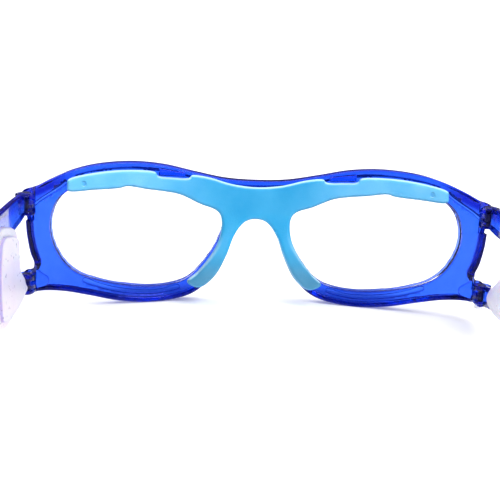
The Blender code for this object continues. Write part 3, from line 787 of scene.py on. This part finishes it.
def make_brow_pad():
    outline = smooth_loop(symmetric(PAD_TOP_MIDDLE, PAD_HALF, PAD_ARCH_MIDDLE), 6)
    core = [(PAD_CORE_INSET, SEAT + 0.2 * MM), (PAD_CORE_INSET, GAP)]
    edge = core + rounded(GAP + HAIR, PAD_DEPTH, *PAD_ROUNDS)
    pad = moulded("brow_pad", [outline], [edge], pad_place, 1.0 * MM)
    dimple = rounded(PAD_DEPTH - DIMPLE_DEPTH, PAD_DEPTH + MM, *DIMPLE_ROUNDS, 3)
    for side in (1, -1):
        rim = circle(Vector((side * DIMPLE.x, DIMPLE.y)), DIMPLE_RADIUS)
        combine(pad, moulded("dimple", [rim], [dimple], pad_place, 5 * MM), "DIFFERENCE")
    settle(pad, "front", "pad_cyan", "brow_nose_pad")


# ---- temples ---------------------------------------------------------------------------------
def temple_outline():
    """Smooth, but square where it meets the two hinges."""
    placed = metres(TEMPLE)
    count = len(placed)
    square = [i for i in range(count) if TEMPLE[i][0] == TEMPLE[0][0]]
    loop = []
    for i in range(count):
        p0, p1, p2, p3 = (placed[(i + k - 1) % count] for k in range(4))
        if i in square and (i + 1) % count in square:
            loop.append(p1)
            continue
        if i in square:
            p0 = 2 * p1 - p2
        if (i + 1) % count in square:
            p3 = 2 * p2 - p1
        loop += stretch_of(p0, p1, p2, p3, 8)
    return loop


def make_temple(side, word):
    slot = [Vector((SLOT_FRONT, SLOT_FOOT)), Vector((SLOT_REAR, SLOT_FOOT)), Vector((SLOT_REAR, SLOT_HEAD)),
            Vector((SLOT_FRONT, SLOT_HEAD))]
    holes = [circle(Vector(p) * MM, PEG_RADIUS + GAP) for p in CUSHION_PEGS]
    outer = TEMPLE_INNER_X + TEMPLE_THICKNESS
    edge = rounded(TEMPLE_INNER_X, outer, *TEMPLE_ROUNDS, 6)
    fine = rounded(TEMPLE_INNER_X, outer, *FINE_ROUNDS, 2)
    loops = [temple_outline(), slot, *holes]
    temple = moulded(f"temple_{word}_arm", loops, [edge] + [fine] * (1 + len(holes)), on_side(side))
    at = (side * HINGE_X, FRONT_Y + HINGE_Y)
    for level, (foot, top) in HINGES.items():
        tongue = hinge_span(level)[1]
        ears = barrel("barrel", KNUCKLE_RADIUS, foot + HAIR, top - HAIR, at, KNUCKLE_ROUNDS[level])
        combine(temple, ears, "UNION")
        for name, radius, low, high in (
            ("sweep", KNUCKLE_SWEEP, tongue[0] - GAP, tongue[1] + GAP),
            ("head", SCREW_HEAD_RADIUS + GAP, top - SCREW_HEAD_HEIGHT - GAP, top + MM),
            ("pocket", INSERT_RADIUS + GAP, foot - MM, foot + INSERT_HEIGHT + GAP),
        ):
            combine(temple, cylinder(name, radius, low, high, at), "DIFFERENCE")
    flatten_faces(temple)
    settle(temple, f"temple_{word}_body", "frame_blue", f"temple_{word}", material=TEMPLE_BLUE)


def make_cushion(side, word):
    far = TEMPLE_INNER_X - GAP
    outline = smooth_loop(metres(CUSHION), 6)
    near = far - CUSHION_THICKNESS
    flange = near + PANEL_HEIGHT
    edge = [(inset + PANEL_INSET, depth) for inset, depth in rounded(near, flange, *PANEL_ROUNDS, 4)]
    edge += rounded(flange, far, *FLANGE_ROUNDS, 4)
    cushion = moulded(f"cushion_{word}", [outline], [edge], on_side(side), 1.0 * MM)
    profile = rounded(far - MM, TEMPLE_INNER_X + TEMPLE_THICKNESS - 0.4 * MM, *PEG_ROUNDS, 3)
    for y, height in CUSHION_PEGS:
        peg = moulded("peg", [circle(Vector((y, height)) * MM, PEG_RADIUS)], [profile], on_side(side), 5 * MM)
        combine(cushion, peg, "UNION")
    flatten_faces(cushion)
    settle(cushion, f"temple_{word}_body", "cushion_clear", f"temple_cushion_{word}")


# ---- strap -----------------------------------------------------------------------------------
OUTSIDE = TEMPLE_INNER_X + TEMPLE_THICKNESS + GAP + STRAP_THICKNESS  # the band's outer face at the temple
SLOT_MIDDLE = (SLOT_FOOT + SLOT_HEAD) / 2


def drop(y):
    """How much lower the strap is here than in its slots."""
    return STRAP_DROP * smooth_step(y, BAR_REAR, BACK_CENTRE_Y + BACK_RADIUS)


def band_path(inset):
    """Plan points of a band's centreline, from its sewn tail, round the temple's bar, to its far end."""
    half = STRAP_THICKNESS / 2
    inner_x = TEMPLE_INNER_X - GAP - half
    outer_x = OUTSIDE - half
    tail_x = OUTSIDE - 1.5 * STRAP_THICKNESS - TAIL_GAP
    slot_y = SLOT_REAR - GAP - half
    path = []

    def line(a, b, count):
        for k in range(count):
            path.append(a + (b - a) * k / count)

    start = Vector((tail_x, TAIL_START))
    joined = Vector((inner_x, BAR_REAR + 3 * MM))
    line(Vector((tail_x, TAIL_END)), start, 12)
    for k in range(14):
        x = start.x + (joined.x - start.x) * smooth_step(k, 0, 14)
        path.append(Vector((x, start.y + (joined.y - start.y) * (k / 14))))
    line(joined, Vector((inner_x, slot_y + BEND_RADIUS)), 8)
    for turn in quarter_turn(6)[:-1]:
        x = inner_x + BEND_RADIUS * (1 - math.cos(turn))
        path.append(Vector((x, slot_y + BEND_RADIUS * (1 - math.sin(turn)))))
    line(Vector((inner_x + BEND_RADIUS, slot_y)), Vector((outer_x - BEND_RADIUS, slot_y)), 4)
    for turn in quarter_turn(6)[:-1]:
        x = outer_x - BEND_RADIUS * (1 - math.sin(turn))
        path.append(Vector((x, slot_y + BEND_RADIUS * (1 - math.cos(turn)))))
    sine = math.sin(BACK_HALF_ANGLE)
    corner_radius = (OUTSIDE - BACK_RADIUS * sine) / (1 - sine)
    gap = BACK_RADIUS - corner_radius
    corner = Vector((gap * sine, BACK_CENTRE_Y + gap * math.cos(BACK_HALF_ANGLE)))
    outer_face = []
    for k in range(50):
        y = slot_y + BEND_RADIUS + (corner.y - slot_y - BEND_RADIUS) * k / 50
        outer_face.append((Vector((OUTSIDE, y)), Vector((1, 0))))
    for k in range(50):
        angle = math.pi / 2 + (BACK_HALF_ANGLE - math.pi / 2) * k / 50
        out = Vector((math.sin(angle), math.cos(angle)))
        outer_face.append((corner + corner_radius * out, out))
    for k in range(61):
        angle = BACK_HALF_ANGLE - (BACK_HALF_ANGLE + OVERLAP_HALF_ANGLE) * k / 60
        out = Vector((math.sin(angle), math.cos(angle)))
        outer_face.append((Vector((0, BACK_CENTRE_Y)) + BACK_RADIUS * out, out))
    for point, out in outer_face:
        path.append(point - out * (half + inset * smooth_step(point.y, LAP_START, LAP_END)))
    return path


def ribbon(name, path, side):
    """The strap's band along a plan path. Its UVs are metres along the band and across it."""
    bm = bmesh.new()
    uv = bm.loops.layers.uv.new("UVMap")
    width = STRAP_WIDTH
    half = STRAP_THICKNESS / 2
    edge = half * 0.55
    lip = 0.35 * MM
    section = [
        (half, lip), (half, width / 2), (half, width - lip), (edge, width), (-edge, width),
        (-half, width - lip), (-half, width / 2), (-half, lip), (-edge, 0), (edge, 0),
    ]
    rings = []
    length = 0
    lengths = []
    for i, point in enumerate(path):
        before = path[max(0, i - 1)]
        after = path[min(len(path) - 1, i + 1)]
        along = (after - before).normalized()
        out = Vector((along.y, -along.x))
        if i:
            length += (point - before).length
        lengths.append(length)
        foot = SLOT_MIDDLE - width / 2
        ring = []
        for across, up in section:
            at = point + out * across
            ring.append(bm.verts.new((side * at.x, FRONT_Y + at.y, foot + up - drop(point.y))))
        rings.append(ring)
    count = len(section)
    for i in range(len(rings) - 1):
        for k in range(count):
            j = (k + 1) % count
            face = bm.faces.new((rings[i][k], rings[i][j], rings[i + 1][j], rings[i + 1][k]))
            for loop, (at, corner) in zip(face.loops, ((i, k), (i, j), (i + 1, j), (i + 1, k))):
                loop[uv].uv = (lengths[at], section[corner][1])
    for ring, at in ((rings[0], 0), (rings[-1], len(path) - 1)):
        face = bm.faces.new(ring)
        for loop in face.loops:
            loop[uv].uv = (lengths[at], 0)
    return finish_mesh(bm, name)


def add_stitches(band, side):
    """Rows of slanting thread across both faces of the band, where its tail is sewn down."""
    seam = SLOT_MIDDLE - drop(SEAM_Y)
    row_height = 0.9 * STRAP_WIDTH
    inside = OUTSIDE - 2 * STRAP_THICKNESS - TAIL_GAP
    size = Matrix.Diagonal((*STITCH_SIZE, 1))
    bm = bmesh.new()
    bm.from_mesh(band.data)
    for x in (OUTSIDE, inside):
        for y in STITCH_ROWS:
            for k in range(STITCHES):
                at = Vector((side * x, FRONT_Y + y, seam + row_height * ((k + 0.5) / STITCHES - 0.5)))
                lean = Matrix.Rotation(STITCH_LEAN if k % 2 else -STITCH_LEAN, 4, "X")
                made = bmesh.ops.create_uvsphere(bm, u_segments=10, v_segments=8, radius=1,
                                                 matrix=Matrix.Translation(at) @ lean @ size)
                for face in {face for vert in made["verts"] for face in vert.link_faces}:
                    face.material_index = 1
                    face.smooth = True
    bm.to_mesh(band.data)
    bm.free()
    band.data.materials.append(THREAD)


def make_band(side, word, inset):
    band = ribbon(f"band_{word}", band_path(inset), side)
    settle(band, None, "strap_webbing", f"strap_{word}")
    add_stitches(band, side)
    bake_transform(band)


# ---- screws, inserts and sliders -------------------------------------------------------------
def copy_node(node, name, bevel, body, slot):
    """A CAD piece whose shape is right, with its edges rounded."""
    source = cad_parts[node]
    bm = bmesh.new()
    bm.from_mesh(source.data)
    bmesh.ops.remove_doubles(bm, verts=bm.verts, dist=2 * TOUCHING)
    bmesh.ops.dissolve_limit(bm, angle_limit=math.radians(1), verts=bm.verts, edges=bm.edges)
    piece = finish_mesh(bm, name)
    modifier = piece.modifiers.new("bevel", "BEVEL")
    modifier.width = bevel
    modifier.segments = 3
    modifier.limit_method = "ANGLE"
    modifier.angle_limit = math.radians(35)
    modifier.harden_normals = True
    apply_modifiers(piece)
    settle(piece, body, slot, node)


def make_hardware(word):
    body = f"temple_{word}_body"
    for level in HINGES:
        copy_node(f"hinge_screw_{word}_{level}", f"screw_{word}_{level}", 0.1 * MM, body, "screw_steel")
        copy_node(f"hinge_insert_{word}_{level}", f"insert_{word}_{level}", 0.1 * MM, body, "insert_brass")
    copy_node(f"strap_slider_{word}", f"slider_{word}", 0.4 * MM, f"slider_{word}_body", "slider_plastic")


# ---- stage -----------------------------------------------------------------------------------
ROOM = (0.08, 0.07, 0.22, 1)  # the dim parts of the studio
CAMERA_AT = Vector((20.0, 273.9, 75.4)) * MM
CAMERA_LENS = 62.5
CAMERA_YAW = math.radians(180 - 3.89)
CAMERA_TILT = math.radians(78)
CAMERA_ROLL = math.radians(2.39)


def light_studio(tree):
    """White all round to look at, with dim parts that only reflections and refractions see.

    They are low down, one on the wearer's side and one beyond the front.
    """
    background = tree.nodes["Background"]
    direction = axes_of(tree, tree.nodes.new("ShaderNodeTexCoord").outputs["Generated"])
    behind = ramped(tree, direction["Y"], 0.0, 0.6)
    behind = math_node(tree, "MULTIPLY", behind, ramped(tree, direction["Z"], 0.8, 0.35))
    ahead = ramped(tree, direction["Y"], -0.3, -0.7)
    ahead = math_node(tree, "MULTIPLY", ahead, ramped(tree, direction["Z"], 0.6, 0.3))
    seen = tree.nodes.new("ShaderNodeLightPath").outputs["Is Camera Ray"]
    unseen = math_node(tree, "SUBTRACT", 1.0, seen)
    dim = math_node(tree, "MULTIPLY", math_node(tree, "ADD", behind, ahead), unseen)
    tree.links.new(blended(tree, dim, (1, 1, 1, 1), ROOM), background.inputs["Color"])
    background.inputs["Strength"].default_value = 1.1


def make_camera():
    camera = bpy.data.objects.new("camera", bpy.data.cameras.new("camera"))
    camera.data.lens = CAMERA_LENS
    camera.data.clip_start = 0.005
    turn = Matrix.Rotation(CAMERA_YAW, 4, "Z") @ Matrix.Rotation(CAMERA_TILT, 4, "X")
    turn = turn @ Matrix.Rotation(CAMERA_ROLL, 4, "Z")
    camera.matrix_world = Matrix.Translation(CAMERA_AT + Vector((0, FRONT_Y, 0))) @ turn
    bpy.context.scene.collection.objects.link(camera)
    bpy.context.scene.camera = camera


def make_floor():
    bm = bmesh.new()
    bmesh.ops.create_grid(bm, x_segments=1, y_segments=1, size=4)
    mesh = bpy.data.meshes.new("floor")
    bm.to_mesh(mesh)
    bm.free()
    floor = link("floor", mesh)
    white = new_material("floor_white", Base_Color=(0.98, 0.98, 0.98, 1), Roughness=0.9,
                         Emission_Color=(1, 1, 1, 1), Emission_Strength=0.22)[0]
    floor.data.materials.append(white)


def make_lights():
    world = bpy.data.worlds.new("studio")
    world.use_nodes = True
    light_studio(world.node_tree)
    bpy.context.scene.world = world
    bpy.context.scene.view_settings.view_transform = "Standard"
    for name, at, watts, size in (("key", (-0.5, 0.6, 0.9), 8, 0.6), ("fill", (0.6, -0.5, 0.8), 5, 0.8)):
        lamp = bpy.data.objects.new(name, bpy.data.lights.new(name, "AREA"))
        lamp.data.energy = watts
        lamp.data.size = size
        lamp.location = at
        lamp.rotation_euler = (-Vector(at)).to_track_quat("-Z", "Y").to_euler()
        bpy.context.scene.collection.objects.link(lamp)


make_camera()
make_floor()
make_lights()
make_front()
make_brow_pad()
for side, word in ((1, "left"), (-1, "right")):
    make_lens(side, word)
    make_temple(side, word)
    make_cushion(side, word)
    make_hardware(word)
make_band(1, "left", 0)
make_band(-1, "right", STRAP_THICKNESS + GAP)
